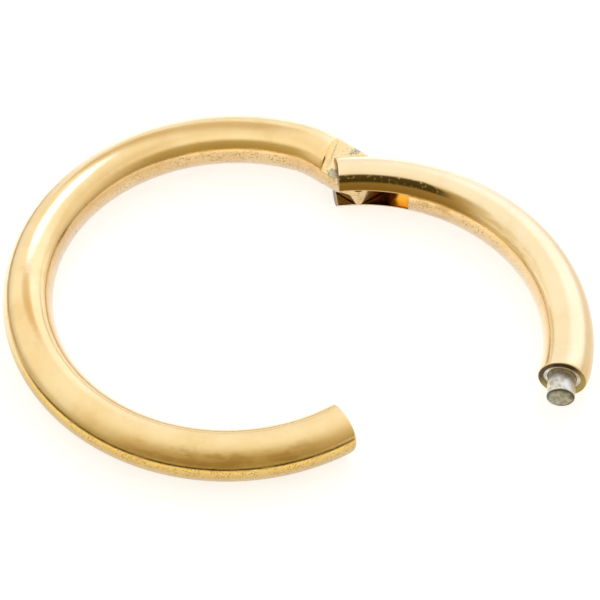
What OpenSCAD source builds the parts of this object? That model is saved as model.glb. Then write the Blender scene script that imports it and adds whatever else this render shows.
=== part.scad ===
// A hinged segment ring of round wire, shown as it lies on its side with its gate swung open.
// The wire ring's centre is the origin, its axis is +Z, and the gate opens towards +X.
// A fixed arc of about three quarters of the ring carries the hinge tongue and the closing socket.
// The gate is the remaining quarter. It is forked over the tongue and has a small pin at its free end.

/* [Ring] */

// Diameter of the round wire of both arcs
wire_d = 1.2; // [1.1:0.02:1.24]
// Diameter of the hollow inside the closed ring
inside_d = 8.5; // [8.3:0.1:9.5]
// Direction in which the fixed arc ends at its closing socket, in degrees
socket_angle = -58.2; // [-60:0.1:-56]

/* [Hinge] */

// Direction of the hinge from the ring's centre, in degrees
hinge_angle = 43.8; // [43:0.1:44.6]
// How far the gate is swung open from its closed place, in degrees
open_angle = 40.8; // [10:0.1:95]
// Direction in which the fixed arc starts to bend in towards its tongue, in degrees
bend_angle = 70; // [69:0.5:71]
// Radius of that bend, to the wire's centre
bend_r = 2.1; // [2:0.05:2.2]
// Direction that the middle line of the straight tongue faces, in degrees
tongue_angle = 49.7; // [49:0.1:50.2]
// Thickness of the flattened tongue
tongue_t = 0.456; // [0.42:0.004:0.46]
// Distance from the hinge back to the tongue's shoulder
shoulder_back = 1.28; // [1.26:0.01:1.34]
// Slant of the shoulder, which is further back on the outer side, in degrees
shoulder_slant = 17; // [12:0.5:19]
// Distance from the hinge to the tongue's tip
tip_ahead = 0.23; // [0.2:0.01:0.3]
// Slant of the tip, which is shorter on the inner side, in degrees
tip_slant = 17; // [12:0.5:20]
// Diameter of the hidden hinge pin
hinge_pin_d = 0.3; // [0.26:0.02:0.32]
// Length of the hidden hinge pin
hinge_pin_l = 1; // [0.9:0.02:1]

/* [Gate] */

// Direction of the closed gate's end face, in degrees
gate_end_angle = -57.6; // [-57.7:0.05:-57]
// Slant of the end face, which is shorter on the outer side, in degrees
end_slant = 3.6; // [3:0.1:3.8]
// Height of the fork's slot
slot_h = 0.504; // [0.5:0.004:0.54]
// Distance from the hinge forward to the end of the slot
slot_ahead = 0.87; // [0.86:0.01:0.92]
// Distance from the hinge back to the fork's ends
fork_back = 0.94; // [0.86:0.01:0.96]
// Lean of the fork's ends, which are longer on the lower side, in degrees
fork_lean = 5; // [3:0.5:6]

/* [Closing pin] */

// Diameter of the closing pin
pin_d = 0.66; // [0.6:0.01:0.67]
// Length of the pin's round side outside the end face
pin_out = 0.52; // [0.45:0.01:0.54]
// Depth of the bore that the pin stands in
pin_in = 0.6; // [0.4:0.02:0.64]
// Lean of the pin away from the ring's centre, in degrees
pin_lean = 9.5; // [8:0.1:11]
// Diameter of the shallow recess around the pin
recess_d = 0.88; // [0.8:0.01:0.92]
// Depth of that recess
recess_h = 0.04; // [0.02:0.01:0.06]

/* [Fits] */

// Gap around and behind each pin in its bore
fit_gap = 0.015; // [0.01:0.005:0.02]
// Gap around the closing pin in its socket
socket_gap = 0.03; // [0.02:0.005:0.04]
// Thickness of the lip that the socket leaves on the wire's outer side
socket_lip = 0.04; // [0.03:0.005:0.06]

/* [Hidden] */

$fn = 64;
wire_r = wire_d / 2;
ring_r = (inside_d + wire_d) / 2;

// Reach of the blocks that cut the wire, and how far a bore's cutter stands out of its face
far = 4 * wire_d;
over = 0.2;

// Each length of the fixed wire starts this far inside the one before, and is this much thinner
seam_lap = 0.08;
seam_step = 0.004;
seam_turn = seam_lap / bend_r * 180 / PI;

// The lengths of wire that hold the socket and stand out of a cut end, as turns about the ring
socket_turn = 20;
over_turn = 4;

hinge_x = ring_r * cos(hinge_angle);
hinge_y = ring_r * sin(hinge_angle);

// The tongue's own frame has its origin at the bend's centre and runs along -Y
bend_from_centre = ring_r - bend_r;
hinge_tongue_y = -ring_r * sin(tongue_angle - hinge_angle)
    - bend_from_centre * sin(bend_angle - tongue_angle);
shoulder_y = hinge_tongue_y + shoulder_back;
tip_y = hinge_tongue_y - tip_ahead;

// The fork's ends, as a direction of the closed gate from the ring's centre
fork_angle = hinge_angle + asin(fork_back / ring_r);

// The closing pin's nose has a bevelled edge and a low point
nose_bevel = 0.05;
nose_edge = 0.06;
nose_point = 0.11;
pin_r = pin_d / 2;

// The gate's end face is centred a little inside the wire's middle line
face_inset = 0.03;

module swung_open() {
    translate([hinge_x, hinge_y, 0])
        rotate(open_angle)
            translate([-hinge_x, -hinge_y, 0])
                children();
}

module at_bend() {
    rotate(bend_angle)
        translate([bend_from_centre, 0, 0])
            rotate(tongue_angle - bend_angle)
                children();
}

module at_closed_hinge() {
    translate([hinge_x, hinge_y, 0])
        rotate(hinge_angle)
            children();
}

// Centre of the closed gate's end face, with the face turned towards -Y
module at_end_face() {
    rotate(gate_end_angle)
        translate([ring_r - face_inset, 0, 0])
            rotate(end_slant)
                children();
}

// The closing pin's axis as +Z, with the outer side of the ring as +X
module at_closing_pin() {
    rotate(gate_end_angle)
        translate([ring_r - face_inset, 0, 0])
            rotate(pin_lean)
                rotate([90, 0, 0])
                    children();
}

module round_arc(first_angle, last_angle, radius, thin = 0) {
    rotate_extrude(angle = last_angle - first_angle, start = first_angle)
        translate([radius, 0])
            circle(wire_r - thin);
}

// Room for the closing pin as it swings in from the outer side. A thin lip of the wire stays
// whole round the mouth, which the pin's nose snaps past.
module socket() {
    socket_r = pin_r + socket_gap;
    socket_end = pin_out + nose_point + socket_gap;
    intersection() {
        at_closing_pin()
            union() {
                translate([0, 0, -over])
                    cylinder(h = socket_end + over, r = socket_r);
                translate([0, -socket_r, -over])
                    cube([far, 2 * socket_r, socket_end + over]);
            }
        round_arc(socket_angle - socket_turn, socket_angle + over_turn, ring_r, socket_lip);
    }
}

module ring_arc() {
    color("#e0c080")
        difference() {
            union() {
                round_arc(bend_angle, 360 + socket_angle, ring_r);
                at_bend()
                    round_arc(0, bend_angle - tongue_angle + seam_turn, bend_r, seam_step);
                at_bend()
                    translate([bend_r, seam_lap, 0])
                        rotate([90, 0, 0])
                            cylinder(h = seam_lap - tip_y + wire_r, r = wire_r - 2 * seam_step);
            }
            for (side = [0, 1])
                mirror([0, 0, side])
                    at_bend()
                        translate([bend_r, shoulder_y, 0])
                            rotate(shoulder_slant)
                                translate([-far / 2, -far, tongue_t / 2])
                                    cube([far, far, wire_d]);
            at_bend()
                translate([bend_r, tip_y, 0])
                    rotate(-tip_slant)
                        translate([-far / 2, -far, -far / 2])
                            cube([far, far, far]);
            translate([hinge_x, hinge_y, 0])
                cylinder(h = wire_d, r = hinge_pin_d / 2 + fit_gap, center = true);
            socket();
        }
}

module hinge_pin() {
    color("#a0a0a0")
        translate([hinge_x, hinge_y, 0])
            cylinder(h = hinge_pin_l, r = hinge_pin_d / 2, center = true);
}

module gate_arc() {
    color("#e8cc90")
        swung_open()
            difference() {
                round_arc(gate_end_angle - over_turn, fork_angle + over_turn, ring_r);
                at_end_face()
                    translate([-far / 2, -far, -far / 2])
                        cube([far, far, far]);
                rotate(fork_angle)
                    translate([ring_r, 0, 0])
                        rotate([fork_lean, 0, 0])
                            translate([-far / 2, 0, -far / 2])
                                cube([far, far, far]);
                at_closed_hinge()
                    translate([-far / 2, -slot_ahead, -slot_h / 2])
                        cube([far, far, slot_h]);
                translate([hinge_x, hinge_y, 0])
                    cylinder(h = hinge_pin_l + 2 * fit_gap, r = hinge_pin_d / 2 + fit_gap, center = true);
                at_end_face()
                    rotate([-90, 0, 0])
                        translate([0, 0, -wire_r])
                            cylinder(h = wire_r + recess_h, r = recess_d / 2);
                at_closing_pin()
                    translate([0, 0, -pin_in])
                        cylinder(h = pin_in + over, r = pin_r + fit_gap);
            }
}

module closing_pin() {
    color("#b0b0a8")
        swung_open()
            at_closing_pin()
                rotate_extrude()
                    polygon([
                        [0, -pin_in],
                        [pin_r, -pin_in],
                        [pin_r, pin_out],
                        [pin_r - nose_bevel, pin_out + nose_edge],
                        [0, pin_out + nose_point]
                    ]);
}

ring_arc();
hinge_pin();
gate_arc();
closing_pin();
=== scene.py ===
# Looks for the hinged segment ring: fine gold wire arcs with their hinge and socket,
# the bare pins, wear and pitting, a pale floor, soft light and the camera.

from collections import namedtuple
from math import asin, atan2, cos, degrees, pi, radians, sin, sqrt

import bmesh
import bpy
from mathutils import Matrix, Vector


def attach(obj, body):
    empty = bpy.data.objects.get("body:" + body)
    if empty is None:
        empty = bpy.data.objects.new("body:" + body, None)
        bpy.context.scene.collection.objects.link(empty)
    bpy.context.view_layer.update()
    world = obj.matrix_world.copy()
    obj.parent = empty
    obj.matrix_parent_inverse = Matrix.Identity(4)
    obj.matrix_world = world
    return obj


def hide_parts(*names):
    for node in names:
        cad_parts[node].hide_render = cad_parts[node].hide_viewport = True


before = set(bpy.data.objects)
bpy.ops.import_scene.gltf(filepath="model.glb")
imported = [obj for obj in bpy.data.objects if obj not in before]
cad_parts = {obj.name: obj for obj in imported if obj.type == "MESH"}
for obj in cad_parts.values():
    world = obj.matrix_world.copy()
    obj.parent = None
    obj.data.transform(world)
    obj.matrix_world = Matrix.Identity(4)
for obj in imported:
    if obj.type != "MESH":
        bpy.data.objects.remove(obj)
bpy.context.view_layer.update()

# Dimensions of the CAD model, in millimetres and degrees

MM = 0.001
WIRE_R = 0.6
RING_R = 4.85
SOCKET_ANGLE = -58.2

HINGE_ANGLE = 43.8
OPEN_ANGLE = 40.8
BEND_ANGLE = 70.0
BEND_R = 2.1
TONGUE_ANGLE = 49.7
TONGUE_T = 0.456
SHOULDER_BACK = 1.28
SHOULDER_SLANT = 17.0
TIP_AHEAD = 0.23
TIP_SLANT = 17.0
HINGE_PIN_R = 0.15
HINGE_PIN_L = 1.0

GATE_END_ANGLE = -57.6
END_SLANT = 3.6
FACE_INSET = 0.03
SLOT_H = 0.504
SLOT_AHEAD = 0.87
FORK_BACK = 0.94
FORK_LEAN = 5.0

PIN_R = 0.33
PIN_OUT = 0.52
PIN_IN = 0.6
PIN_LEAN = 9.5
NOSE_POINT = 0.11
RECESS_R = 0.44
RECESS_H = 0.04

FIT_GAP = 0.015
SOCKET_GAP = 0.03
SOCKET_LIP = 0.04
SOCKET_TURN = 20.0

# How far cutters stand out of what they cut, as a length and as a turn
OVER = 0.2
OVER_TURN = 4.0

# Small radii and bevels. The socket's end is more rounded on its lower outer side.

EDGE_ROUND = 0.012
RIM_ROUND = 0.02
END_ROUND = 0.12
END_ROUND_SIDE = -42.0
RECESS_ROUND = 0.008
PIN_BEVEL = 0.01
NOSE_ROUND = 0.055
NOSE_SWEEP = 78.0
# The nose's dome ends this far below the CAD model's point
NOSE_BLUNT = 0.012
# Wear of the end face's outer edge
WORN_DEPTH = 0.05
# How fast the socket's rounding and that wear fall off around the wire
SIDE_POWER = 1.5

# A ring of points around the wire runs over its outer side, top, inner side and bottom

SIDE_STEPS = 12
CAP_STEPS = 40
TOP_START = SIDE_STEPS
INNER_START = TOP_START + CAP_STEPS
BOTTOM_START = INNER_START + SIDE_STEPS
RING_POINTS = BOTTOM_START + CAP_STEPS
# Steps across a flat wall
FLAT_STEPS = 12

# Sides of turned pieces and cutters, and of the hinge pin with its holes
ROUND_SIDES = 96
HINGE_PIN_SIDES = 48

# Places

HINGE = Vector((RING_R * cos(radians(HINGE_ANGLE)), RING_R * sin(radians(HINGE_ANGLE)), 0))


def turn(angle):
    return Matrix.Rotation(radians(angle), 4, "Z")


def tilt(angle):
    return Matrix.Rotation(radians(angle), 4, "X")


def move(x, y, z=0.0):
    return Matrix.Translation((x, y, z))


SWUNG_OPEN = move(*HINGE) @ turn(OPEN_ANGLE) @ move(*(-HINGE))
AT_BEND = turn(BEND_ANGLE) @ move(RING_R - BEND_R, 0) @ turn(TONGUE_ANGLE - BEND_ANGLE)
AT_END_FACE = turn(GATE_END_ANGLE) @ move(RING_R - FACE_INSET, 0) @ turn(END_SLANT)
AT_CLOSING_PIN = turn(GATE_END_ANGLE) @ move(RING_R - FACE_INSET, 0) @ turn(PIN_LEAN) @ tilt(90)

# Points


def steps(first, last, count):
    """Even steps from first towards last, which is left out."""
    return [first + (last - first) * i / count for i in range(count)]


def between(first, last, part):
    return first * (1 - part) + last * part


def ring_directions(flat_half):
    """Directions around the wire, in radians, that meet the planes z = +-flat_half exactly."""
    edge = asin(flat_half / WIRE_R)
    outer = steps(-edge, edge, SIDE_STEPS)
    top = steps(edge, pi - edge, CAP_STEPS)
    inner = steps(pi - edge, pi + edge, SIDE_STEPS)
    bottom = steps(pi + edge, 2 * pi - edge, CAP_STEPS)
    return outer + top + inner + bottom


def circle(radius, z, sides):
    return [(radius * cos(a), radius * sin(a), z) for a in steps(0, 2 * pi, sides)]


def ring_point(angle, radius, around):
    """A point on a round section of the ring, which lies in the direction angle from the ring's centre."""
    reach = RING_R + radius * cos(around)
    return Vector((reach * cos(radians(angle)), reach * sin(radians(angle)), radius * sin(around)))


HALVINGS = 40


def distance_to(plane_matrix, surface, around, low, high):
    """Where a line along a surface meets the plane y = 0 of a frame, by halving. y falls from low to high."""
    to_plane = plane_matrix.inverted()
    for _ in range(HALVINGS):
        middle = (low + high) / 2
        if (to_plane @ surface(middle, around)).y > 0:
            low = middle
        else:
            high = middle
    return low


# Mesh tools


def new_object(name, bm, matrix=Matrix.Identity(4)):
    """Makes an object from a mesh in millimetres, placed by the matrix. The mesh is used up."""
    bmesh.ops.recalc_face_normals(bm, faces=bm.faces)
    for vertex in bm.verts:
        vertex.co = (matrix @ vertex.co) * MM
    mesh = bpy.data.meshes.new(name)
    bm.to_mesh(mesh)
    bm.free()
    piece = bpy.data.objects.new(name, mesh)
    bpy.context.scene.collection.objects.link(piece)
    return piece


def skin(bm, rows, material_place=0):
    """Joins closed rows of vertices one after another. A row may be a single point."""
    for a, b in zip(rows, rows[1:]):
        count = max(len(a), len(b))
        for i in range(count):
            n = (i + 1) % count
            corners = dict.fromkeys((a[i % len(a)], a[n % len(a)], b[n % len(b)], b[i % len(b)]))
            bm.faces.new(list(corners)).material_index = material_place


def mesh_grid(bm, grid, material_place=0):
    """Joins the rows of a grid of vertices, which are open at their ends."""
    for low, high in zip(grid, grid[1:]):
        for i in range(len(low) - 1):
            face = bm.faces.new((low[i], low[i + 1], high[i + 1], high[i]))
            face.material_index = material_place


def patch(bm, left, right, low, high, material_place=0):
    """Fills the four-sided place between two columns and two rows of vertices, which share their ends."""
    grid = [low]
    for i in range(1, len(left) - 1):
        up = i / (len(left) - 1)
        row = [left[i]]
        for j in range(1, len(low) - 1):
            across = j / (len(low) - 1)
            point = between(left[i].co, right[i].co, across) + between(low[j].co, high[j].co, up)
            low_chord = between(low[0].co, low[-1].co, across)
            high_chord = between(high[0].co, high[-1].co, across)
            row.append(bm.verts.new(point - between(low_chord, high_chord, up)))
        grid.append(row + [right[i]])
    mesh_grid(bm, grid + [high], material_place)


def split_tube(bm, rings, split, keep_sides, flat_place=0):
    """Skins rings of wire points. From the ring number split on, only the sides or only the caps of the wire
    are there, and flat walls join their edges. Returns the rings, and each wall's rows, upper wall first."""
    verts = [[bm.verts.new(point) for point in ring] for ring in rings]
    for k in range(len(rings) - 1):
        for j in range(RING_POINTS):
            on_side = j < TOP_START or INNER_START <= j < BOTTOM_START
            if k >= split and on_side != keep_sides:
                continue
            n = (j + 1) % RING_POINTS
            bm.faces.new((verts[k][j], verts[k][n], verts[k + 1][n], verts[k + 1][j]))
    walls = []
    for outer, inner in ((TOP_START, INNER_START), (0, BOTTOM_START)):
        rows = []
        for ring in verts[split:]:
            a, b = ring[outer], ring[inner]
            between_them = [bm.verts.new(a.co.lerp(b.co, i / FLAT_STEPS)) for i in range(1, FLAT_STEPS)]
            rows.append([a] + between_them + [b])
        mesh_grid(bm, rows, flat_place)
        walls.append(rows)
    return verts, walls


def close_caps(bm, ring, wall_rows, material_place=0):
    """Closes the segments between a ring's top and bottom and the rows of the walls there."""
    upper_row, lower_row = wall_rows
    for first, last, row in ((TOP_START, INNER_START, upper_row), (BOTTOM_START, RING_POINTS, lower_row)):
        rim = [ring[j % RING_POINTS] for j in range(first, last + 1)]
        if rim[0] != row[0]:
            row = row[::-1]
        bm.faces.new(rim + row[-2:0:-1]).material_index = material_place


def close_sides(bm, ring, wall_rows, material_place=0):
    """Closes the place between a ring's outer and inner side and the rows of the walls there."""
    outer = ring[:TOP_START + 1]
    inner = ring[INNER_START:BOTTOM_START + 1][::-1]
    patch(bm, outer, inner, wall_rows[1], wall_rows[0], material_place)


def drop_loose(bm):
    bmesh.ops.delete(bm, geom=[vertex for vertex in bm.verts if not vertex.link_faces], context="VERTS")


def round_sharp_edges(bm, width, least, segments, pick):
    """Rounds the picked convex edges that turn by more than least degrees."""
    convex = [edge for edge in bm.edges if len(edge.link_faces) == 2 and edge.is_convex]
    picked = [edge for edge in convex if degrees(edge.calc_face_angle()) > least and pick(edge)]
    bmesh.ops.bevel(
        bm, geom=picked, offset=width, segments=segments, profile=0.5, affect="EDGES", clamp_overlap=True,
    )


def mark_smooth(piece, least):
    """Shades a piece smooth, apart from edges that turn by least degrees or more."""
    bm = bmesh.new()
    bm.from_mesh(piece.data)
    for face in bm.faces:
        face.smooth = True
    for edge in bm.edges:
        edge.smooth = len(edge.link_faces) != 2 or degrees(edge.calc_face_angle(pi)) < least
    bm.to_mesh(piece.data)
    bm.free()


def cut(piece, cutter, operation="DIFFERENCE"):
    """Applies a boolean to a piece, and removes the cutter."""
    modifier = piece.modifiers.new("cut", "BOOLEAN")
    modifier.operation = operation
    modifier.object = cutter
    modifier.solver = "EXACT"
    bpy.context.view_layer.update()
    whole = piece.data
    piece_now = piece.evaluated_get(bpy.context.evaluated_depsgraph_get())
    piece.data = bpy.data.meshes.new_from_object(piece_now)
    piece.modifiers.clear()
    bpy.data.meshes.remove(whole)
    bpy.data.objects.remove(cutter)


def capped_tube(name, rings, matrix=Matrix.Identity(4)):
    bm = bmesh.new()
    rows = [[bm.verts.new(point) for point in ring] for ring in rings]
    skin(bm, rows)
    bm.faces.new(rows[0][::-1])
    bm.faces.new(rows[-1])
    return new_object(name, bm, matrix)


def cylinder(name, radius, low, high, matrix, sides=ROUND_SIDES):
    return capped_tube(name, [circle(radius, z, sides) for z in (low, high)], matrix)


def block(name, low, high, matrix):
    bm = bmesh.new()
    bmesh.ops.create_cube(bm, size=1.0)
    for vertex in bm.verts:
        vertex.co = Vector([low[i] + (high[i] - low[i]) * (vertex.co[i] + 0.5) for i in range(3)])
    return new_object(name, bm, matrix)


def lathe(name, profile, matrix, sides=ROUND_SIDES):
    """A turned piece. Profile points run from the axis to the axis."""
    bm = bmesh.new()
    rows = []
    for radius, z in profile:
        points = circle(radius, z, sides if radius else 1)
        rows.append([bm.verts.new(point) for point in points])
    skin(bm, rows)
    return new_object(name, bm, matrix)


# The fixed arc: round wire, bend, shoulder, tongue and socket. Distances along it start at the socket's end.

MAIN_LENGTH = radians(360 + SOCKET_ANGLE - BEND_ANGLE) * RING_R
BEND_LENGTH = radians(BEND_ANGLE - TONGUE_ANGLE) * BEND_R
TONGUE_FROM = MAIN_LENGTH + BEND_LENGTH
HINGE_IN_BEND = AT_BEND.inverted() @ HINGE
HINGE_AT = TONGUE_FROM - HINGE_IN_BEND.y
SHOULDER_AT = HINGE_AT - SHOULDER_BACK

# Rings of points: at the rounded end, along the wire, from where they start to lean up to the shoulder,
# and from there to the tip
END_ROWS = 10
MAIN_ROWS = 240
LEAN_BEFORE_BEND = 0.3
LEAN_ROWS = 16
TONGUE_ROWS = 26
# Reach of the search for the slanted shoulder and tip
SLANT_REACH = 1.0
# Edges nearer to the middle of the socket's end aren't bevelled, because it is rounded already
SOCKET_END_REACH = 1.0
# Least turns of the edges that are bevelled, and of those that look sharp
ROUNDED_FROM = 50.0
SHARP_FROM = 32.0


def end_round(around):
    """Radius of the socket end's rounded edge in a direction around the wire."""
    side = max(0.0, cos(around - radians(END_ROUND_SIDE)))
    return RIM_ROUND + (END_ROUND - RIM_ROUND) * side ** SIDE_POWER


def along_wire(distance):
    """The wire's middle and its outward direction at a distance from the socket's end."""
    if distance < MAIN_LENGTH:
        angle = radians(360 + SOCKET_ANGLE) - distance / RING_R
        out = Vector((cos(angle), sin(angle), 0))
        return out * RING_R, out
    if distance < TONGUE_FROM:
        angle = (TONGUE_FROM - distance) / BEND_R
        out = Vector((cos(angle), sin(angle), 0))
        return AT_BEND @ (out * BEND_R), AT_BEND.to_3x3() @ out
    out = Vector((1, 0, 0))
    return AT_BEND @ (out * BEND_R + Vector((0, TONGUE_FROM - distance, 0))), AT_BEND.to_3x3() @ out


def wire_point(distance, around):
    """A point on the fixed wire's surface. Its socket end has a rounded edge."""
    centre, out = along_wire(distance)
    edge = end_round(around)
    reach = WIRE_R
    if distance < edge:
        reach += sqrt(edge ** 2 - (edge - distance) ** 2) - edge
    return centre + out * (reach * cos(around)) + Vector((0, 0, reach * sin(around)))


def slanted_lines(directions, ahead, slant):
    """Distances along the wire, one for each direction, to a slanted plane ahead of the hinge."""
    plane = AT_BEND @ move(BEND_R, HINGE_IN_BEND.y - ahead) @ turn(slant)
    low, high = HINGE_AT + ahead - SLANT_REACH, HINGE_AT + ahead + SLANT_REACH
    return [distance_to(plane, wire_point, a, low, high) for a in directions]


def fixed_stations(directions):
    """Distances along the wire of each ring of points, one for each direction, and the number of the
    shoulder's ring. The rings near the shoulder and the tip are slanted as those are."""
    shoulder_lines = slanted_lines(directions, -SHOULDER_BACK, SHOULDER_SLANT)
    tip_lines = slanted_lines(directions, TIP_AHEAD, -TIP_SLANT)
    lean_from = MAIN_LENGTH - LEAN_BEFORE_BEND
    middles = [END_ROUND * part ** 2 for part in steps(0, 1, END_ROWS)]
    middles += steps(END_ROUND, lean_from, MAIN_ROWS)
    stations = [[distance] * len(directions) for distance in middles]
    for part in steps(0, 1, LEAN_ROWS):
        middle = lean_from + (SHOULDER_AT - lean_from) * part
        stations.append([middle + (line - SHOULDER_AT) * part ** 2 for line in shoulder_lines])
    shoulder = len(stations)
    for part in steps(0, 1, TONGUE_ROWS) + [1]:
        stations.append([a + (b - a) * part for a, b in zip(shoulder_lines, tip_lines)])
    return stations, shoulder


def make_fixed_arc():
    directions = ring_directions(TONGUE_T / 2)
    stations, shoulder = fixed_stations(directions)
    rings = [[wire_point(distance, a) for distance, a in zip(station, directions)] for station in stations]
    bm = bmesh.new()
    verts, walls = split_tube(bm, rings, shoulder, keep_sides=True)
    close_caps(bm, verts[shoulder], [rows[0] for rows in walls])
    close_sides(bm, verts[-1], [rows[-1] for rows in walls])
    bm.faces.new(verts[0])
    drop_loose(bm)
    bmesh.ops.recalc_face_normals(bm, faces=bm.faces)
    socket_end = along_wire(0)[0]

    def away_from_socket(edge):
        return (edge.verts[0].co - socket_end).length > SOCKET_END_REACH

    round_sharp_edges(bm, EDGE_ROUND, ROUNDED_FROM, 2, away_from_socket)
    return new_object("gold_fixed_arc", bm)


# Rings of points of the cutter that keeps the socket inside the wire
SOCKET_ROWS = 48


def socket_bound():
    """The wire's length round the socket, thinner by the lip."""
    radius = WIRE_R - SOCKET_LIP
    first, last = SOCKET_ANGLE - SOCKET_TURN, SOCKET_ANGLE + OVER_TURN
    around = steps(0, 2 * pi, ROUND_SIDES)
    angles = steps(first, last, SOCKET_ROWS) + [last]
    return capped_tube("socket_bound", [[ring_point(angle, radius, a) for a in around] for angle in angles])


def socket_cutter():
    """The closing pin's room, open towards the ring's outer side up to the thin lip."""
    radius = PIN_R + SOCKET_GAP
    end = PIN_OUT + NOSE_POINT + SOCKET_GAP
    hole = cylinder("socket_hole", radius, -OVER, end, AT_CLOSING_PIN)
    slab = block("socket_slab", (0, -radius, -OVER), (4 * WIRE_R, radius, end), AT_CLOSING_PIN)
    cut(hole, slab, "UNION")
    cut(hole, socket_bound(), "INTERSECT")
    return hole


# The gate: round wire, fork, end face with its recess and bore. Its turns start at the hinge.

GATE_TURN = HINGE_ANGLE - GATE_END_ANGLE
SLOT_TURN = degrees(asin(SLOT_AHEAD / RING_R))
FORK_TURN = degrees(asin(FORK_BACK / RING_R))

# Rings of points before the slot and along it, and the parts of the first ones that lean with the end face,
# follow the slot's end and are worn
GATE_ROWS = 120
SLOT_ROWS = 30
FACE_SHARE = 0.12
SLOT_SHARE = 0.1
WORN_SHARE = 0.05
# Edges less than this turn from the hinge belong to the fork
FORK_EDGES_TURN = 14.0
# Radius of a loop of points on the end face, between its rim and the recess
FACE_LOOP_R = 0.52
# The rim is rounded where it turns by more than this
RIM_FROM = 35.0

# Places of the gate's materials, after the gold of its wire
END_FACE, RECESS, SLOT_SIDE, SLOT_END = 1, 2, 3, 4


def gate_point(turned, around, worn=0.0):
    """A point on the closed gate's wire. The outer edge of its end face is worn a little."""
    wear = WORN_DEPTH * worn ** 2 * max(0.0, cos(around)) ** SIDE_POWER
    return ring_point(HINGE_ANGLE - turned, WIRE_R - wear, around)


def gate_lines(directions, plane, middle):
    """Turns from the hinge, one for each direction, to a plane across the gate."""
    return [distance_to(plane, gate_point, a, middle - OVER_TURN, middle + OVER_TURN) for a in directions]


def gate_rings(directions):
    """Rings of wire points of the closed gate, from its end face to the fork's leaning ends."""
    fork_plane = turn(HINGE_ANGLE + FORK_TURN) @ move(RING_R, 0) @ tilt(FORK_LEAN)
    ends = gate_lines(directions, AT_END_FACE, GATE_TURN)
    backs = gate_lines(directions, fork_plane, -FORK_TURN)
    slots = [degrees(asin(SLOT_AHEAD / (RING_R + WIRE_R * cos(a)))) for a in directions]
    rings = []
    for part in steps(0, 1, GATE_ROWS):
        straight = GATE_TURN + (SLOT_TURN - GATE_TURN) * part
        near_end = max(0.0, 1 - part / FACE_SHARE)
        near_slot = max(0.0, (part - (1 - SLOT_SHARE)) / SLOT_SHARE)
        worn = max(0.0, 1 - part / WORN_SHARE)
        ring = []
        for a, end, slot in zip(directions, ends, slots):
            turned = straight + (end - GATE_TURN) * near_end + (slot - SLOT_TURN) * near_slot
            ring.append(gate_point(turned, a, worn))
        rings.append(ring)
    for part in steps(0, 1, SLOT_ROWS) + [1]:
        turns = [slot + (back - slot) * part for slot, back in zip(slots, backs)]
        rings.append([gate_point(turned, a) for turned, a in zip(turns, directions)])
    return rings


def add_end_face(bm, rim, directions):
    """The end face inside its rim, with the recess and the leaning bore of the closing pin."""
    to_face = AT_END_FACE @ tilt(90)
    lean = radians(PIN_LEAN - END_SLANT)
    bore_axis = Vector((sin(lean), 0, cos(lean)))
    bore_out = Vector((cos(lean), 0, -sin(lean)))
    bore_r = PIN_R + FIT_GAP

    def face_loop(radius, depth):
        points = [Vector((radius * cos(a), radius * sin(a), -depth)) for a in directions]
        return [bm.verts.new(to_face @ point) for point in points]

    def bore_loop(depth):
        points = [bore_out * (bore_r * cos(a)) + Vector((0, bore_r * sin(a), 0)) for a in directions]
        points = [point + bore_axis * ((-depth - point.z) / bore_axis.z) for point in points]
        return [bm.verts.new(to_face @ point) for point in points]

    face = [rim, face_loop(FACE_LOOP_R, 0), face_loop(RECESS_R + RECESS_ROUND, 0)]
    face += [face_loop(RECESS_R, RECESS_ROUND), face_loop(RECESS_R, RECESS_H)]
    skin(bm, face, END_FACE)
    bore = [bore_loop(depth) for depth in (RECESS_H, PIN_IN / 2, PIN_IN)]
    skin(bm, [face[-1]] + bore, RECESS)
    bm.faces.new(bore[-1]).material_index = RECESS


def make_gate():
    directions = ring_directions(SLOT_H / 2)
    bm = bmesh.new()
    verts, walls = split_tube(bm, gate_rings(directions), GATE_ROWS, keep_sides=False, flat_place=SLOT_SIDE)
    close_sides(bm, verts[GATE_ROWS], [rows[0] for rows in walls], SLOT_END)
    close_caps(bm, verts[-1], [rows[-1] for rows in walls], SLOT_SIDE)
    drop_loose(bm)
    add_end_face(bm, verts[0], directions)
    bmesh.ops.recalc_face_normals(bm, faces=bm.faces)
    rim = set(verts[0])

    def on_rim(edge):
        return edge.verts[0] in rim and edge.verts[1] in rim

    def on_fork(edge):
        x, y = edge.verts[0].co[:2]
        return degrees(atan2(y, x)) > HINGE_ANGLE - FORK_EDGES_TURN

    round_sharp_edges(bm, RIM_ROUND, RIM_FROM, 3, on_rim)
    round_sharp_edges(bm, EDGE_ROUND, ROUNDED_FROM, 2, on_fork)
    return new_object("gold_gate", bm, SWUNG_OPEN)


# The pins

# Rings of points along the closing pin's round side, over its nose's edge and over the dome
PIN_ROWS = 14
NOSE_EDGE_ROWS = 7
DOME_ROWS = 6
PIN_SHARP_FROM = 40.0


def hinge_pin_profile():
    half = HINGE_PIN_L / 2
    edge_r = HINGE_PIN_R - PIN_BEVEL
    side = [(HINGE_PIN_R, -half + PIN_BEVEL), (HINGE_PIN_R, half - PIN_BEVEL)]
    return [(0, -half), (edge_r, -half)] + side + [(edge_r, half), (0, half)]


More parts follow.
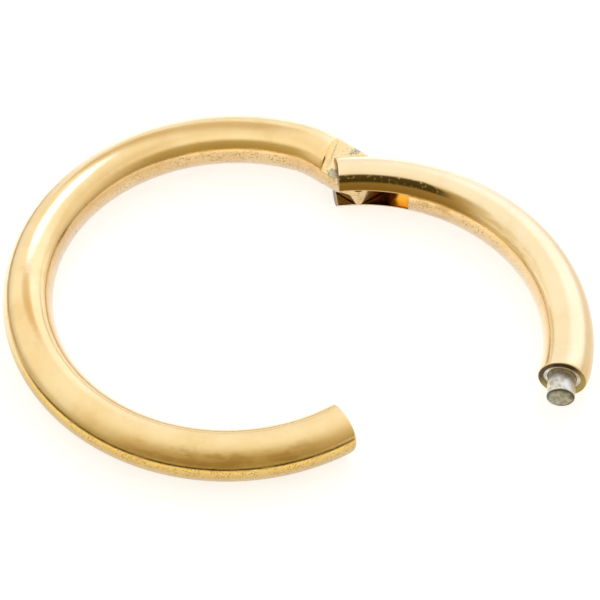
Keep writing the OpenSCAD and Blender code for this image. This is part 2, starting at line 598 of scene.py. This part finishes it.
def closing_pin_profile():
    """The pin from its hidden end to its nose, which is a little domed with a rounded edge."""
    low, high = -PIN_IN + PIN_BEVEL, PIN_OUT - PIN_BEVEL
    points = [(0, -PIN_IN), (PIN_R - PIN_BEVEL, -PIN_IN)]
    points += [(PIN_R, z) for z in steps(low, high, PIN_ROWS) + [high]]
    for i in range(1, NOSE_EDGE_ROWS + 1):
        angle = radians(NOSE_SWEEP * i / NOSE_EDGE_ROWS)
        points.append((PIN_R - NOSE_ROUND + NOSE_ROUND * cos(angle), high + NOSE_ROUND * sin(angle)))
    dome_r, dome_z = points[-1]
    rise = PIN_OUT + NOSE_POINT - NOSE_BLUNT - dome_z
    for i in range(1, DOME_ROWS + 1):
        left = 1 - i / DOME_ROWS
        points.append((dome_r * left, dome_z + rise * (1 - left ** 2)))
    return points


# The four pieces

hole_r = HINGE_PIN_R + FIT_GAP
hole_half = HINGE_PIN_L / 2 + FIT_GAP

fixed_arc = make_fixed_arc()
cut(fixed_arc, cylinder("hinge_hole", hole_r, -hole_half, hole_half, move(*HINGE), HINGE_PIN_SIDES))
cut(fixed_arc, socket_cutter())
mark_smooth(fixed_arc, SHARP_FROM)

gate = make_gate()
cut(gate, cylinder("fork_hole", hole_r, -hole_half, hole_half, move(*HINGE), HINGE_PIN_SIDES))
mark_smooth(gate, SHARP_FROM)

hinge_pin = lathe("turned_hinge_pin", hinge_pin_profile(), move(*HINGE), HINGE_PIN_SIDES)
mark_smooth(hinge_pin, PIN_SHARP_FROM)

closing_pin = lathe("turned_closing_pin", closing_pin_profile(), SWUNG_OPEN @ AT_CLOSING_PIN)
mark_smooth(closing_pin, PIN_SHARP_FROM)

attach(fixed_arc, "ring")
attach(gate, "gate")
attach(hinge_pin, "ring")
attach(closing_pin, "gate")
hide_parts("ring_arc")
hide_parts("gate_arc")
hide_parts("hinge_pin")
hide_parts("closing_pin")

# Node tools


class Graph:
    """Short ways to add nodes to a material or a world."""

    def __init__(self, owner):
        owner.use_nodes = True
        self.nodes = owner.node_tree.nodes
        self.links = owner.node_tree.links

    def put(self, socket, value):
        if isinstance(value, bpy.types.NodeSocket):
            self.links.new(value, socket)
        else:
            socket.default_value = value

    def add(self, kind, inputs=(), **settings):
        node = self.nodes.new("ShaderNode" + kind)
        for key, value in settings.items():
            setattr(node, key, value)
        for key, value in dict(inputs).items():
            self.put(node.inputs[key], value)
        return node

    def math(self, operation, *values):
        return self.add("Math", enumerate(values), operation=operation).outputs[0]

    def times(self, first, *others):
        """The product of two or more numbers."""
        for other in others:
            first = self.math("MULTIPLY", first, other)
        return first

    def plus(self, first, second):
        return self.math("ADD", first, second)

    def minus(self, first, second):
        return self.math("SUBTRACT", first, second)

    def hypotenuse(self, x, y):
        return self.math("SQRT", self.plus(self.times(x, x), self.times(y, y)))

    def vector(self, operation, *values):
        return self.add("VectorMath", enumerate(values), operation=operation).outputs[0]

    def measure(self, operation, *values):
        """The number that a vector operation gives: LENGTH, DISTANCE or DOT_PRODUCT."""
        return self.add("VectorMath", enumerate(values), operation=operation).outputs[1]

    def scaled(self, vector, factor):
        return self.add("VectorMath", {0: vector, "Scale": factor}, operation="SCALE").outputs[0]

    def turned(self, vector, angle, centre=(0, 0, 0)):
        """A vector turned about a vertical axis through the centre, by an angle in degrees."""
        inputs = {"Vector": vector, "Center": tuple(centre), "Axis": (0, 0, 1), "Angle": radians(angle)}
        return self.add("VectorRotate", inputs, rotation_type="AXIS_ANGLE").outputs[0]

    def split(self, vector):
        return self.add("SeparateXYZ", {0: vector}).outputs

    def join(self, x=0.0, y=0.0, z=0.0):
        return self.add("CombineXYZ", {0: x, 1: y, 2: z}).outputs[0]

    def point(self):
        """The place on the object, in millimetres."""
        return self.scaled(self.add("TexCoord").outputs["Object"], 1 / MM)

    def noise(self, vector, scale=1.0, detail=2.0, roughness=0.5):
        inputs = {"Vector": vector, "Scale": scale, "Detail": detail, "Roughness": roughness}
        return self.add("TexNoise", inputs).outputs[0]

    def drawn_noise(self, *measures, detail=2.0):
        """Noise that is drawn out. Each measure comes with its own scale."""
        return self.noise(self.join(*[self.times(value, scale) for value, scale in measures]), detail=detail)

    def cells(self, vector, scale):
        """The distance from the nearest of scattered points."""
        inputs = {"Vector": vector, "Scale": scale, "Randomness": 1.0}
        return self.add("TexVoronoi", inputs).outputs["Distance"]

    def fade(self, value, low, high, first=0.0, last=1.0, kind="SMOOTHSTEP"):
        """Goes from first to last while the value goes from low to high."""
        inputs = {"Value": value, "From Min": low, "From Max": high, "To Min": first, "To Max": last}
        return self.add("MapRange", inputs, interpolation_type=kind).outputs[0]

    def band(self, value, limits):
        """A mask that rises between the first two limits and falls between the last two."""
        return self.times(self.fade(value, limits[0], limits[1]), self.fade(value, limits[3], limits[2]))

    def mix(self, factor, first, last):
        """A colour between two colours."""
        node = self.add("Mix", {"Factor": factor}, data_type="RGBA")
        for socket, value in ((node.inputs[6], first), (node.inputs[7], last)):
            self.put(socket, value if isinstance(value, bpy.types.NodeSocket) else (*value, 1))
        return node.outputs[2]

    def tones(self, value, low, high, tones):
        """A colour that runs smoothly through tones, which are pairs of a value and a colour."""
        ramp = self.add("ValToRGB", {0: self.fade(value, low, high, kind="LINEAR")})
        ramp.color_ramp.interpolation = "B_SPLINE"
        stops = ramp.color_ramp.elements
        while len(stops) < len(tones):
            stops.new(0.5)
        for stop, (place, colour) in zip(stops, tones):
            stop.position = (place - low) / (high - low)
            stop.color = (*colour, 1)
        return ramp.outputs[0]


def new_material(name):
    material = bpy.data.materials.new(name)
    graph = Graph(material)
    return material, graph, graph.nodes["Principled BSDF"]


def set_metal(graph, shader, colour, roughness, height, depth):
    """Makes bare metal of a shader. depth is that of its bumps for a height of 1, in millimetres."""
    bump = graph.add("Bump", {"Strength": 1.0, "Distance": depth * MM, "Height": height})
    graph.put(shader.inputs["Base Color"], colour)
    graph.put(shader.inputs["Roughness"], roughness)
    graph.put(shader.inputs["Normal"], bump.outputs[0])
    shader.inputs["Metallic"].default_value = 1.0


# A place on the closed ring in millimetres: the point, and how far it is out from the wire's middle line,
# above it and along it
WirePlace = namedtuple("WirePlace", "point out z along")


def closed_place(graph, swung):
    """The place on the closed ring, of the gate if swung and else of the fixed arc."""
    point = graph.point()
    if swung:
        point = graph.turned(point, -OPEN_ANGLE, HINGE)
    x, y, z = graph.split(point)[:3]
    out = graph.minus(graph.hypotenuse(x, y), RING_R)
    # The count along the wire starts at +X on the gate, and at -X on the fixed arc
    side = 1 if swung else -1
    along = graph.times(graph.math("ARCTAN2", graph.times(y, side), graph.times(x, side)), RING_R)
    return WirePlace(point, out, z, along)


def wire_angles(graph, at):
    """Directions in degrees: around the wire from its outer side over its top, and along the ring."""
    around = graph.times(graph.math("ARCTAN2", at.z, at.out), degrees(1))
    return around, graph.times(at.along, degrees(1) / RING_R)


def coordinates_in(graph, point, matrix):
    """The three coordinates of a point in a frame."""
    back = matrix.inverted()
    rows = [back[i] for i in range(3)]
    return [graph.plus(graph.measure("DOT_PRODUCT", point, tuple(row[:3])), row[3]) for row in rows]


# Gold

GOLD_LIGHT = (0.96, 0.735, 0.39)
GOLD_DEEP = (0.92, 0.66, 0.31)
GOLD_PALE = (0.97, 0.86, 0.66)
GOLD_BROWN = (0.62, 0.40, 0.15)
# Colour of a painted sheen towards the outline
PAINTED_EDGE_SHEEN = (0.95, 0.88, 0.74)
# Colours of a painted reflection of a dark thing, on the gate beside the hinge
PAINTED_REFLECTION_BROWN = (0.50, 0.31, 0.095)
PAINTED_REFLECTION_DARK = (0.085, 0.055, 0.012)
GRIME = (0.30, 0.19, 0.05)
NICK = (0.10, 0.07, 0.03)
STEEL = (0.62, 0.54, 0.35)
STEEL_FLECK = [0.4 * part for part in STEEL]

# Depth of the bumps of gold, ground faces and pins, and of the slot
BUMP_DEPTH = 0.002
SLOT_BUMP_DEPTH = 0.0006

# Small dark nicks on the fixed arc: place and reach
NICKS = (((-3.763, 1.966, -0.03), 0.075), ((2.905, -4.435, 0.03), 0.06))

# Places on the tongue's upper side where the gold has worn off: centre, half sizes and turn
WORN_SPOTS = (
    ((2.50, 3.42), (0.13, 0.19), -20.0),
    ((3.08, 4.16), (0.21, 0.09), -32.0),
    ((3.11, 2.79), (0.03, 0.03), 0.0),
)
# How far they reach up and down, and how ragged they are, as a part of their size
WORN_SPOT_H = 0.1
WORN_SPOT_RAGGED = 1.6

# Bands in degrees, around the wire and along the ring, of the stains and of the painted reflection beside the
# hinge (the HINGE_ bands).
# Four numbers are where a band starts to rise, is whole, starts to fall and ends, and two are one end of it.
HINGE_HAZE_AROUND = (113, 122, 148, 164)
HINGE_HAZE_ALONG = (1, 19)
HINGE_CORE_UPPER = (113, 119)
HINGE_CORE_LOWER = (137, 131)
HINGE_CORE_ALONG = (16, 24)
SLOT_STAIN_MIDDLE = 150.0
SLOT_STAIN_REACH = (34, 16)
SLOT_STAIN_ALONG = (5, 22, 31, 36)
UPPER_STAIN_AROUND = (108, 130, 146, 160)
UPPER_STAIN_ALONG = (-34, -4, 26, 34)
FIXED_HAZE_AROUND = (100, 136, 160, 178)
FIXED_HAZE_ALONG = (-82, -60, -24, -2)
PATCH_AROUND = (14, 30, 48, 62)
PATCH_ALONG = (58, 70, 104, 116)
# How ragged the patches' long edges are, in degrees around the wire
PATCH_RAGGED = 56.0
# Before this direction along the ring the core narrows, by so much a degree
CORE_NARROWS_FROM = 28.0
CORE_NARROWS_BY = 0.9

# How much the marks cover what is below them
PIT_COVER = 0.55
SPECK_COVER = 0.85
PALE_COVER = 0.35
PATCH_COVER = 0.6
FIXED_HAZE_COVER = 0.4
NICK_COVER = 0.85


def hinge_painted_reflection(graph, around, turned):
    """A painted reflection of a dark thing on the gate beside the hinge: a brown haze on the upper inner
    side, and a dark, sharp core.
    """
    haze = graph.times(graph.band(around, HINGE_HAZE_AROUND), graph.fade(turned, *HINGE_HAZE_ALONG))
    # Away from the hinge, the core's upper edge comes down the inner side
    narrowed = graph.math("MAXIMUM", graph.minus(CORE_NARROWS_FROM, turned), 0.0)
    upper_edge = graph.minus(around, graph.times(narrowed, CORE_NARROWS_BY))
    core = graph.times(
        graph.fade(upper_edge, *HINGE_CORE_UPPER), graph.fade(around, *HINGE_CORE_LOWER),
        graph.fade(turned, *HINGE_CORE_ALONG),
    )
    return haze, core


def inner_stains(graph, at, around, turned):
    """Brown stains drawn out along the gate's inner side, next to the slot and above the gate's middle."""
    from_middle = graph.math("ABSOLUTE", graph.minus(graph.math("ABSOLUTE", around), SLOT_STAIN_MIDDLE))
    blots = graph.drawn_noise((at.out, 9.0), (at.z, 9.0), (at.along, 2.2), detail=3.0)
    streaks = graph.drawn_noise((at.out, 14.0), (at.z, 14.0), (at.along, 2.0), detail=4.0)
    by_slot = graph.times(
        graph.fade(from_middle, *SLOT_STAIN_REACH), graph.band(turned, SLOT_STAIN_ALONG),
        graph.fade(blots, 0.44, 0.60, 0.0, 0.75),
    )
    upper = graph.times(
        graph.band(around, UPPER_STAIN_AROUND), graph.band(turned, UPPER_STAIN_ALONG),
        graph.fade(streaks, 0.40, 0.66, 0.12, 0.55),
    )
    return graph.math("MAXIMUM", by_slot, upper)


def inner_haze(graph, around, turned):
    """A brown haze on the fixed arc's upper inner side, left of the hinge."""
    return graph.times(graph.band(around, FIXED_HAZE_AROUND), graph.band(turned, FIXED_HAZE_ALONG))


def brushed_patches(graph, around, turned):
    """Brown brushed patches on the outer side of the fixed arc, opposite the hinge."""
    strokes = graph.drawn_noise((turned, 0.2), (around, 0.02))
    blots = graph.drawn_noise((turned, 0.16), (around, 0.05))
    ragged = graph.plus(around, graph.times(graph.minus(strokes, 0.5), PATCH_RAGGED))
    return graph.times(
        graph.band(ragged, PATCH_AROUND), graph.band(turned, PATCH_ALONG),
        graph.fade(blots, 0.38, 0.6, 0.15, 1.0),
    )


def worn_spot(graph, point, ragged, centre, half, angle):
    """A mask of one on a ragged oval spot."""
    local = graph.turned(graph.vector("SUBTRACT", point, (*centre, TONGUE_T / 2)), angle)
    far = graph.measure("LENGTH", graph.vector("DIVIDE", local, (*half, WORN_SPOT_H)))
    far = graph.plus(far, graph.times(graph.minus(ragged, 0.5), WORN_SPOT_RAGGED))
    return graph.fade(far, 1.05, 0.85)


def fixed_marks(graph, at, grain, colour, roughness):
    """Adds the fixed arc's nicks, brushed patches, haze and worn spots."""
    around, turned = wire_angles(graph, at)
    for nick, reach in NICKS:
        near = graph.plus(graph.measure("DISTANCE", at.point, nick), graph.times(grain, 0.02))
        colour = graph.mix(graph.fade(near, reach, 0.5 * reach, 0.0, NICK_COVER), colour, NICK)
    colour = graph.mix(graph.times(brushed_patches(graph, around, turned), PATCH_COVER), colour, GOLD_BROWN)
    colour = graph.mix(graph.times(inner_haze(graph, around, turned), FIXED_HAZE_COVER), colour, GOLD_BROWN)
    ragged = graph.noise(at.point, scale=14.0)
    worn = 0.0
    for centre, half, angle in WORN_SPOTS:
        worn = graph.math("MAXIMUM", worn, worn_spot(graph, at.point, ragged, centre, half, angle))
    flecks = graph.fade(graph.noise(at.point, scale=22.0), 0.52, 0.62)
    colour = graph.mix(worn, colour, graph.mix(flecks, STEEL, STEEL_FLECK))
    return colour, graph.plus(roughness, graph.times(worn, 0.2))


def gate_marks(graph, at, colour, roughness):
    """Adds the gate's paler upper side, stains, and a painted reflection of a dark thing beside the hinge."""
    around, turned = wire_angles(graph, at)
    upper = graph.times(graph.fade(at.z, 0.15, 0.5), graph.fade(at.out, -0.45, -0.28))
    colour = graph.mix(graph.times(upper, PALE_COVER), colour, GOLD_PALE)
    colour = graph.mix(inner_stains(graph, at, around, turned), colour, GOLD_BROWN)
    # Painted reflection of a dark thing beside the hinge: a brown haze and a dark core
    haze, core = hinge_painted_reflection(graph, around, turned)
    colour = graph.mix(haze, colour, PAINTED_REFLECTION_BROWN)
    # Brighter specks in the painted dark reflection, where pits catch the light
    reflection_specks = graph.fade(graph.noise(at.point, scale=11.0, detail=3.0), 0.56, 0.68, 1.0, 0.45)
    colour = graph.mix(graph.times(core, reflection_specks), colour, PAINTED_REFLECTION_DARK)
    return colour, graph.plus(roughness, graph.times(core, 0.1))


def gold_material(name, swung):
    """Polished gold coating: uneven tone, a fine grain along the wire, and brown clouds, pits and specks,
    most of them low on it. The gate, if swung, or else the fixed arc adds its own marks."""
    material, graph, shader = new_material(name)
    at = closed_place(graph, swung)
    lower = graph.fade(at.z, 0.15, -0.35)
    tone = graph.noise(at.point, scale=0.9, detail=3.0)
    cloud = graph.fade(graph.noise(at.point, scale=1.7, detail=4.0, roughness=0.62), 0.5, 0.66)
    grain = graph.drawn_noise((at.out, 22.0), (at.z, 22.0), (at.along, 0.8))
    ripple = graph.noise(at.point, scale=4.5)
    pits = graph.times(
        graph.fade(graph.cells(at.point, 9.0), 0.20, 0.08),
        graph.fade(graph.noise(at.point, scale=2.3, detail=1.0), 0.42, 0.62),
        graph.fade(lower, 0.0, 1.0, 0.12, 1.0),
    )
    specks = graph.times(
        graph.fade(graph.cells(at.point, 20.0), 0.45, 0.2), graph.fade(at.z, 0.36, 0.06),
        graph.fade(graph.noise(at.point, scale=3.1), 0.38, 0.56, 0.35, 1.0),
    )
    colour = graph.mix(graph.fade(tone, 0.3, 0.7), GOLD_LIGHT, GOLD_DEEP)
    colour = graph.mix(graph.times(cloud, graph.fade(lower, 0, 1, 0.1, 0.45)), colour, GOLD_BROWN)
    colour = graph.mix(graph.times(pits, PIT_COVER), colour, GOLD_BROWN)
    colour = graph.mix(graph.times(specks, SPECK_COVER), colour, GRIME)
    roughness = graph.plus(graph.fade(cloud, 0, 1, 0.11, 0.2, "LINEAR"), graph.times(grain, 0.05))
    if swung:
        colour, roughness = gate_marks(graph, at, colour, roughness)
    else:
        colour, roughness = fixed_marks(graph, at, grain, colour, roughness)
    # Painted sheen: the colour turns paler towards the outline, where the surface turns edge-on
    facing = graph.add("LayerWeight", {"Blend": 0.5}).outputs["Facing"]
    colour = graph.mix(graph.fade(facing, 0.3, 0.95, 0.0, 0.8), colour, PAINTED_EDGE_SHEEN)
    height = graph.plus(graph.times(ripple, 1.4), graph.times(grain, 0.12))
    height = graph.minus(height, graph.times(pits, 1.6))
    set_metal(graph, shader, colour, roughness, height, BUMP_DEPTH)
    return material


# The gate's end face, the slot and the pins

FACE_DARK = (0.085, 0.07, 0.045)
FACE_LIGHT = (0.42, 0.33, 0.11)
FACE_LINES = (3.0, 40.0, 60.0)
SLOT_LIGHT = (1.0, 0.70, 0.24)
SLOT_DEEP = (0.95, 0.64, 0.20)
# Painted shade on the slot's sides beside the tongue
SLOT_PAINTED_SHADE = (0.16, 0.095, 0.03)
SLOT_LINES = (3.0, 45.0, 45.0)
PIN_LIGHT = (0.80, 0.75, 0.66)
PIN_DULL = (0.52, 0.49, 0.39)
NOSE_LIGHT = (0.50, 0.48, 0.38)
NOSE_DULL = (0.22, 0.21, 0.14)
NOSE_RIM = (0.10, 0.095, 0.07)
# Radii between which the nose darkens to its rim, and the length over which the side turns into the nose
NOSE_RIM_RADII = (0.7 * PIN_R, PIN_R)
NOSE_FADE = 0.03


def end_face_material():
    """The gate's end face, ground less finely than the wire, and darker on the upper and inner side."""
    material, graph, shader = new_material("gold_end_face")
    at = closed_place(graph, True)
    tone = graph.noise(at.point, scale=4.0, detail=3.0)
    lines = graph.noise(graph.vector("MULTIPLY", at.point, FACE_LINES))
    side = graph.plus(graph.minus(graph.times(at.out, 0.6), at.z), graph.times(tone, 0.3))
    colour = graph.mix(graph.fade(side, -0.25, 0.45), FACE_DARK, FACE_LIGHT)
    set_metal(graph, shader, colour, graph.fade(lines, 0.3, 0.7, 0.22, 0.34), lines, BUMP_DEPTH)
    return material


def slot_material(name, shaded_by_tongue):
    """The slot's sawn faces, with the saw's fine lines. With the flag set, they carry painted shade beside
    the tongue, where it stands between the cheeks.
    """
    material, graph, shader = new_material(name)
    at = closed_place(graph, True)
    lines = graph.noise(graph.vector("MULTIPLY", at.point, SLOT_LINES))
    tone = graph.noise(at.point, scale=5.0, detail=3.0)
    colour = graph.mix(graph.fade(tone, 0.35, 0.65), SLOT_LIGHT, SLOT_DEEP)
    if shaded_by_tongue:
        # Painted shade where the tongue stands between the cheeks
        from_end = graph.minus(at.along, radians(HINGE_ANGLE) * RING_R - SLOT_AHEAD)
        beside = graph.fade(graph.plus(from_end, graph.times(tone, 0.12)), 0.42, 0.56)
        colour = graph.mix(beside, colour, SLOT_PAINTED_SHADE)
    set_metal(graph, shader, colour, graph.fade(lines, 0.3, 0.7, 0.14, 0.22), lines, SLOT_BUMP_DEPTH)
    return material


def bare_metal(name, matrix, turned_lines, nose_at=None):
    """Bare mottled steel. Fine lines run round the axis of matrix, and it is darker from nose_at onwards."""
    material, graph, shader = new_material(name)
    point = graph.point()
    x, y, length = coordinates_in(graph, point, matrix)
    reach = graph.hypotenuse(x, y)
    mottle = graph.noise(point, scale=6.0, detail=4.0, roughness=0.65)
    blotch = graph.fade(mottle, 0.40, 0.68)
    rings = graph.drawn_noise((length, 40.0), (reach, 40.0))
    colour = graph.mix(blotch, PIN_LIGHT, PIN_DULL)
    if nose_at is not None:
        rim = graph.fade(reach, *NOSE_RIM_RADII)
        nose = graph.mix(rim, graph.mix(blotch, NOSE_LIGHT, NOSE_DULL), NOSE_RIM)
        colour = graph.mix(graph.fade(length, nose_at, nose_at + NOSE_FADE), colour, nose)
    height = graph.plus(graph.times(rings, turned_lines), graph.times(mottle, 0.8))
    set_metal(graph, shader, colour, graph.fade(mottle, 0.35, 0.65, 0.32, 0.46), height, BUMP_DEPTH)
    return material


fixed_arc.data.materials.append(gold_material("gold_fixed", False))
gate_materials = (
    gold_material("gold_moving", True),
    end_face_material(),
    bare_metal("recess_steel", SWUNG_OPEN @ AT_CLOSING_PIN, 0.0),
    slot_material("slot_sides", True),
    slot_material("slot_end", False),
)
for material in gate_materials:
    gate.data.materials.append(material)
hinge_pin.data.materials.append(bare_metal("hinge_steel", move(*HINGE), 1.0))
closing_pin.data.materials.append(bare_metal("closing_steel", SWUNG_OPEN @ AT_CLOSING_PIN, 1.0, PIN_OUT))

# Floor

SHEET_HALF = 400
FLOOR_GLOW = 0.76
FLOOR_LIGHT = (1.0, 0.985, 0.96, 1)
FLOOR_SHADES = ((0.39, 0.39, 0.385), (0.42, 0.42, 0.415))
FLOOR_ROUGHNESS = 0.28


def flat_sheet(name, half, matrix):
    """A square sheet of the floor or of the light's cards."""
    bm = bmesh.new()
    bmesh.ops.create_grid(bm, x_segments=1, y_segments=1, size=half)
    sheet = new_object(name, bm, matrix)
    return sheet


def make_floor():
    """White acrylic, lit a little from below."""
    floor = flat_sheet("floor", SHEET_HALF, move(0, 0, -WIRE_R))
    material, graph, shader = new_material("white_acrylic")
    faint = graph.noise(graph.point(), scale=0.05)
    graph.put(shader.inputs["Base Color"], graph.mix(faint, *FLOOR_SHADES))
    shader.inputs["Roughness"].default_value = FLOOR_ROUGHNESS
    shader.inputs["Emission Color"].default_value = FLOOR_LIGHT
    shader.inputs["Emission Strength"].default_value = FLOOR_GLOW
    floor.data.materials.append(material)


# Studio light

# Its tones by direction from front to back: place from -1 at the camera's side to 1 behind, and colour
STUDIO_TONES = (
    (-1.0, (0.40, 0.30, 0.11)), (-0.87, (0.48, 0.38, 0.17)),
    (-0.7, (0.55, 0.45, 0.24)), (-0.5, (0.68, 0.60, 0.40)),
    (-0.2, (0.94, 0.90, 0.79)), (0.1, (1.03, 1.03, 1.0)),
    (0.55, (1.08, 1.10, 1.12)), (1.0, (0.98, 1.0, 1.03)),
)
# Brightness that the tones are parts of, and what is left of it at the sides near the horizon
STUDIO_TOP = 1.12
STUDIO_SIDES = 0.65
# Azimuth and elevation of a broad bright window, and its colour
WINDOW_TOWARDS = (36.0, 30.0)
WINDOW_GLOW = (0.15, 0.24, 0.44)


def toward(azimuth, elevation):
    a, e = radians(azimuth), radians(elevation)
    return sin(a) * cos(e), cos(a) * cos(e), sin(e)


def make_world():
    world = bpy.data.worlds.new("studio")
    bpy.context.scene.world = world
    graph = Graph(world)
    direction = graph.add("TexCoord").outputs["Generated"]
    x, y, z = graph.split(direction)[:3]
    tones = [(place, [part / STUDIO_TOP for part in colour]) for place, colour in STUDIO_TONES]
    side = graph.times(x, x, graph.fade(z, 0.4, 0.0))
    strength = graph.times(graph.fade(side, 0, 1, 1.0, STUDIO_SIDES, "LINEAR"), STUDIO_TOP)
    facing = graph.measure("DOT_PRODUCT", direction, toward(*WINDOW_TOWARDS))
    glow = graph.scaled(WINDOW_GLOW, graph.fade(facing, 0.82, 0.97))
    light = graph.vector("ADD", graph.scaled(graph.tones(y, -1, 1, tones), strength), glow)
    graph.put(graph.nodes["Background"].inputs["Color"], light)
    bpy.context.scene.view_settings.view_transform = "Standard"


# Sheets that only reflections see

# Painted shade of the floor as the ring's front reflects it, the ring's shadow, by the distance from the
# ring's centre
SHADE_SHEET_FRONT = 255.0
SHADE_SHEET_REACH = (5.0, 13.0)
SHADE_SHEET_TONES = (
    (5.3, (0.72, 0.66, 0.56)), (5.7, (0.70, 0.64, 0.50)), (6.1, (0.76, 0.68, 0.44)),
    (7.0, (1.0, 0.90, 0.52)), (7.4, (0.80, 0.70, 0.36)), (7.9, (0.0, 0.0, 0.0)),
    (9.2, (0.0, 0.0, 0.0)), (10.2, (0.42, 0.33, 0.14)), (13.0, (0.46, 0.38, 0.17)),
)
SHADE_SHEET_CLEAR = (1, 1, 1)
SHADE_SHEET_RIGHT = (0.92, 0.87, 0.81)
SHADE_SHEET_SIDES = (0.50, 0.40, 0.26)
SHADE_SHEET_INSIDE = (0.81, 0.78, 0.81)
SHADE_SHEET_OVER_FLOOR = 0.004
# Distances from a centre between which the painted shade fades in, outside the wire and inside it
OUTSIDE_WIRE = (4.7, 5.3)
INSIDE_WIRE = (4.7, 4.3)


def reflected_sheet(name, half, matrix):
    """A sheet that only reflections see, and the graph of its material, which is empty but for its output."""
    sheet = flat_sheet(name, half, matrix)
    sheet.visible_camera = False
    sheet.visible_diffuse = False
    sheet.visible_shadow = False
    sheet.visible_transmission = False
    material, graph, shader = new_material(name)
    graph.nodes.remove(shader)
    sheet.data.materials.append(material)
    return graph


def set_surface(graph, node):
    graph.put(graph.nodes["Material Output"].inputs["Surface"], node.outputs[0])


def floor_shade_sheet():
    """A sheet just over the floor with painted shade: the ring's shadow on the floor, darker towards the
    camera's side, at the sides and inside the ring.
    """
    graph = reflected_sheet("floor_shade_sheet", SHEET_HALF, move(0, 0, -WIRE_R + SHADE_SHEET_OVER_FLOOR))
    point = graph.vector("MULTIPLY", graph.point(), (1, 1, 0))
    x, y = graph.split(point)[:2]
    gate_middle = SWUNG_OPEN @ Vector((0, 0, 0))
    reach = graph.measure("LENGTH", point)
    gate_reach = graph.measure("DISTANCE", point, tuple(gate_middle))

    front = radians(SHADE_SHEET_FRONT)
    to_front = graph.math("DIVIDE", graph.measure("DOT_PRODUCT", point, (cos(front), sin(front), 0)), reach)
    to_right = graph.math("DIVIDE", graph.minus(x, gate_middle.x), gate_reach)
    to_side = graph.math("DIVIDE", graph.math("ABSOLUTE", x), reach)

    outside = graph.times(graph.fade(to_front, 0.1, 0.72), graph.fade(reach, *OUTSIDE_WIRE))
    right = graph.times(graph.fade(to_right, 0.4, 0.95), graph.fade(gate_reach, *OUTSIDE_WIRE))
    sides = graph.times(
        graph.fade(to_side, 0.3, 0.8), graph.fade(reach, 7.5, 11.0), graph.fade(x, 0.0, 4.0, 1.0, 0.45),
        graph.minus(1.0, outside),
    )
    inside = graph.math("MAXIMUM", graph.fade(reach, *INSIDE_WIRE), graph.fade(gate_reach, *INSIDE_WIRE))
    inside = graph.times(inside, graph.fade(y, -1.6, 2.4))

    # Painted shade: the ring's shadow on the floor in front, to the right, at the sides and inside the ring
    painted_shade = graph.mix(outside, SHADE_SHEET_CLEAR, graph.tones(reach, *SHADE_SHEET_REACH, SHADE_SHEET_TONES))
    painted_shade = graph.mix(right, painted_shade, SHADE_SHEET_RIGHT)
    painted_shade = graph.mix(sides, painted_shade, SHADE_SHEET_SIDES)
    painted_shade = graph.mix(inside, painted_shade, SHADE_SHEET_INSIDE)
    set_surface(graph, graph.add("BsdfTransparent", {"Color": painted_shade}))


def card(name, centre, half, angle, height, colour, soft, oval=False):
    """A bright or dim card over the ring. soft is the part of each half that fades out: one number for an
    oval, and two for a rectangle."""
    middle = (*centre, height)
    graph = reflected_sheet(name, 1.0, move(*middle) @ turn(angle) @ Matrix.Diagonal((*half, 1, 1)))
    local = graph.turned(graph.vector("SUBTRACT", graph.point(), middle), -angle)
    local = graph.vector("ABSOLUTE", graph.vector("DIVIDE", local, (*half, 1)))
    if oval:
        cover = graph.fade(graph.measure("LENGTH", local), 1.0, 1.0 - soft)
    else:
        x, y = graph.split(local)[:2]
        cover = graph.times(graph.fade(x, 1.0, 1.0 - soft[0]), graph.fade(y, 1.0, 1.0 - soft[1]))
    light = graph.add("Emission", {"Color": (*colour, 1), "Strength": 1.0})
    clear = graph.add("BsdfTransparent")
    set_surface(graph, graph.add("MixShader", {0: cover, 1: clear.outputs[0], 2: light.outputs[0]}))


# Camera

# Its tilt and roll in radians, the ring's centre in its view in ring radii, and the lens in pixels of the
# picture, all fitted to the ring's outline
CAMERA_ELEVATION = 0.8894
CAMERA_ROLL = -0.0216
RING_IN_VIEW = Vector((-0.3354, -0.0464, 15.0))
LENS_PIXELS = 3056.81
PICTURE_PIXELS = 600
SENSOR_WIDTH = 36


def make_camera():
    rise, run = sin(CAMERA_ELEVATION), cos(CAMERA_ELEVATION)
    level_view = Matrix(((1, 0, 0), (0, -rise, -run), (0, run, -rise)))
    view = Matrix.Rotation(CAMERA_ROLL, 3, "Z") @ level_view
    place = -(view.transposed() @ RING_IN_VIEW) * (RING_R * MM)
    axes = Matrix((view[0], -view[1], -view[2])).transposed()
    data = bpy.data.cameras.new("photo_camera")
    data.sensor_width = SENSOR_WIDTH
    data.lens = LENS_PIXELS / PICTURE_PIXELS * SENSOR_WIDTH
    data.clip_start = 0.001
    data.clip_end = 10
    camera = bpy.data.objects.new("photo_camera", data)
    bpy.context.scene.collection.objects.link(camera)
    camera.matrix_world = Matrix.Translation(place) @ axes.to_4x4()
    bpy.context.scene.camera = camera


make_floor()
make_world()
floor_shade_sheet()
card(
    "bright_card", centre=(-4.16, 4.30), half=(2.35, 1.36), angle=52.3, height=3.2,
    colour=(1.45, 1.85, 3.1), soft=0.45, oval=True,
)
card(
    "shade_card", centre=(-5.0, 1.6), half=(1.8, 1.3), angle=-35.0, height=3.3,
    colour=(0.84, 0.70, 0.52), soft=0.7, oval=True,
)
card(
    "dim_card", centre=(-2.4, 7.5), half=(4.5, 2.5), angle=-25.0, height=3.0,
    colour=(0.74, 0.63, 0.48), soft=(0.25, 0.85),
)
card(
    "fill_card", centre=(0.8, 3.1), half=(2.4, 1.9), angle=0.0, height=2.9,
    colour=(1.06, 1.04, 0.98), soft=(0.5, 0.9),
)
make_camera()
